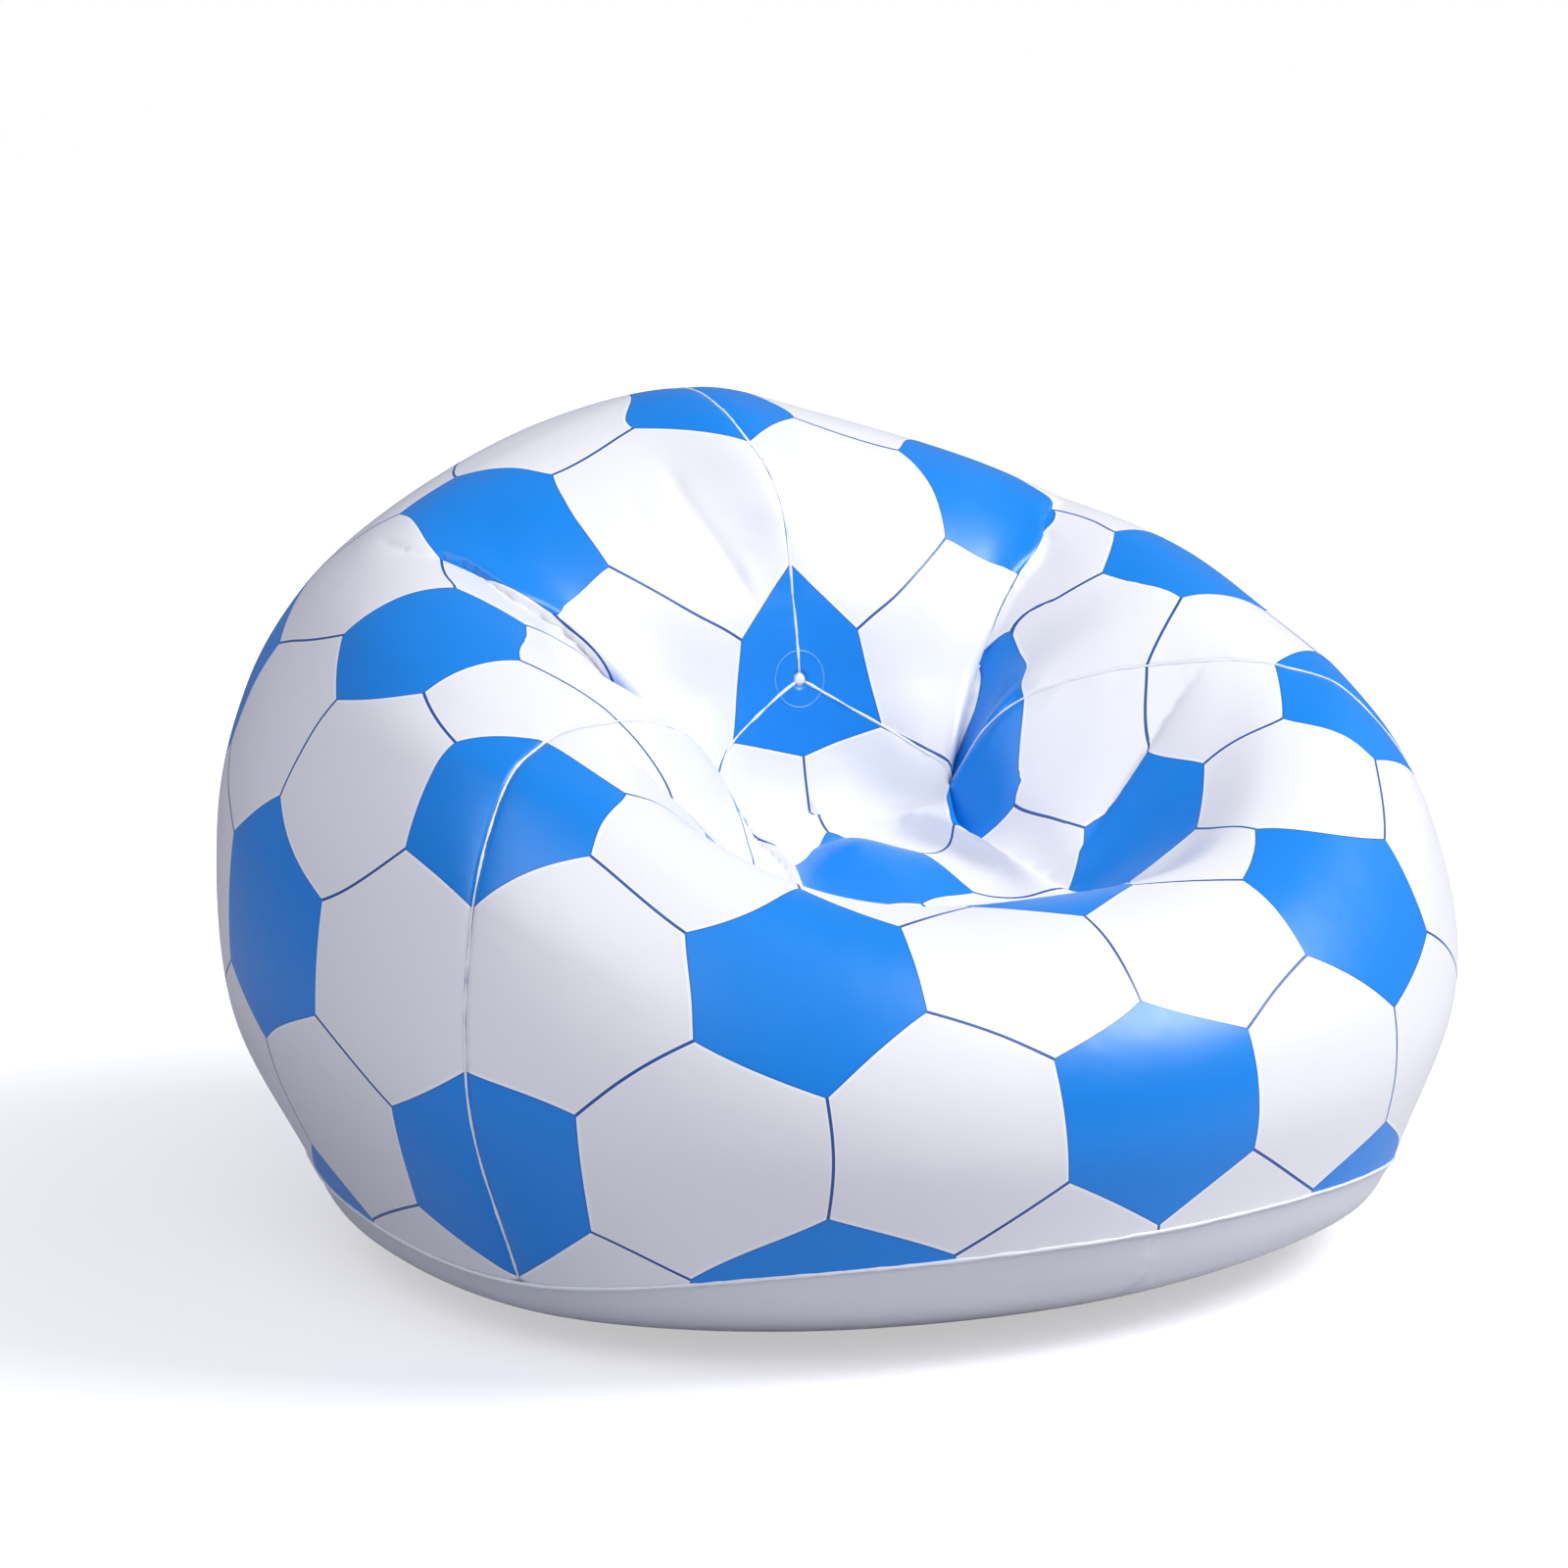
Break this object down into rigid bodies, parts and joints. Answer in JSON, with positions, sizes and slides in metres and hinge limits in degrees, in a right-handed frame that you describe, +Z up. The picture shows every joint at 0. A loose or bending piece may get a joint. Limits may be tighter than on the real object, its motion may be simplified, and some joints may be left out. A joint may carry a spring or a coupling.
{
  "type": "inflatable armchair",
  "caption": "Inflatable vinyl armchair with a football hexagon print: three printed gores and a plain base panel, a tethered seat well and an air valve.",
  "frame": {"origin": "on the floor, under the middle of the air chamber", "axes": "+Z up, the sitter faces -Y, +X along the chair's left-right axis, which is its widest"},
  "size_m": [1.0628, 1.0138, 0.731],
  "materials": {
    "printed_vinyl": "satin",
    "plain_vinyl": "satin",
    "inner_vinyl": "satin",
    "valve_plastic": "satin"
  },
  "bodies": {
    "chamber": {"front_gore": "printed_vinyl", "left_gore": "printed_vinyl", "right_gore": "printed_vinyl", "base_panel": "plain_vinyl", "apex_patch": "inner_vinyl", "foot_patch": "inner_vinyl", "tether": "inner_vinyl", "valve_flange": "valve_plastic"},
    "plug": {"valve_plug": "valve_plastic"},
    "flap": {"valve_flap": "valve_plastic"},
    "cap": {"valve_cap": "valve_plastic"}
  },
  "joints": [
    {"name": "plug_pull", "type": "slide", "parent": "chamber", "child": "plug", "axis": [0.216, 0.9404, -0.2627], "range_m": [0, 0.03]},
    {"name": "cap_open", "type": "hinge", "parent": "plug", "child": "cap", "pos_m": [0.10544, 0.47989, 0.20205], "axis": [0.0588, 0.256, 0.9649], "range_deg": [0, 110]},
    {"name": "flap_open", "type": "hinge", "parent": "plug", "child": "flap", "pos_m": [0.1054, 0.46856, 0.20505], "axis": [-0.0588, -0.256, -0.9649], "range_deg": [0, 60], "stiffness_Nm_per_rad": 0.0003, "springref_deg": -11.46}
  ]
}
